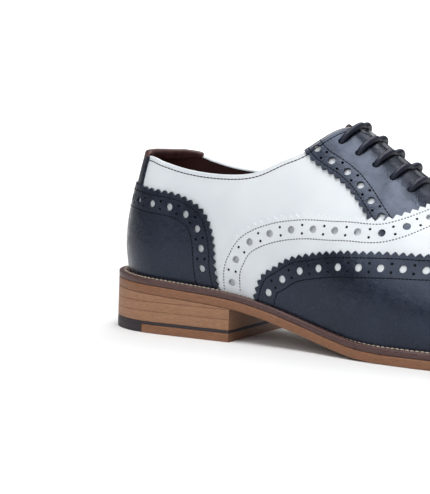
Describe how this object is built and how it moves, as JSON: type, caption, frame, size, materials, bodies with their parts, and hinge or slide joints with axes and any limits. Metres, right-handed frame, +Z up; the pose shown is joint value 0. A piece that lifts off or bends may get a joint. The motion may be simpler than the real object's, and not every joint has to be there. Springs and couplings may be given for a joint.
{
  "type": "brogue oxford",
  "caption": "Right wingtip brogue oxford in navy and white leather, with a welted leather sole, stacked heel and closed laced throat, standing empty on its sole.",
  "frame": {"origin": "on the floor, under the middle of the shoe's outline", "axes": "+X from heel to toe, +Y to the inner (medial) side of the foot, +Z up"},
  "size_m": [0.306, 0.1054, 0.1179],
  "materials": {
    "navy_leather": "polished navy calf",
    "white_leather": "smooth white calf",
    "brown_leather": "burgundy-brown lining leather",
    "welt_leather": "dark stained welt",
    "sole_leather": "tan waxed sole edge",
    "stacked_leather": "stacked lifts, light tan",
    "insole_leather": "plain insole board",
    "rubber": "matt dark rubber",
    "waxed_lace": "round waxed cotton"
  },
  "bodies": {
    "root": {"heel_rubber": "rubber", "heel_leather": "sole_leather", "heel_lift_lower": "stacked_leather", "heel_lift_middle": "stacked_leather", "heel_lift_upper": "stacked_leather", "outsole": "sole_leather", "welt": "welt_leather", "insole": "insole_leather", "upper": "white_leather", "tongue": "brown_leather", "counter": "navy_leather", "vamp": "white_leather", "wing": "navy_leather", "facing_lateral": "navy_leather", "facing_medial": "navy_leather", "back_strap": "navy_leather", "heel_tab": "brown_leather", "lace_bar_1": "waxed_lace", "lace_bar_2": "waxed_lace", "lace_bar_3": "waxed_lace", "lace_bar_4": "waxed_lace", "lace_bar_5": "waxed_lace"}
  },
  "joints": []
}
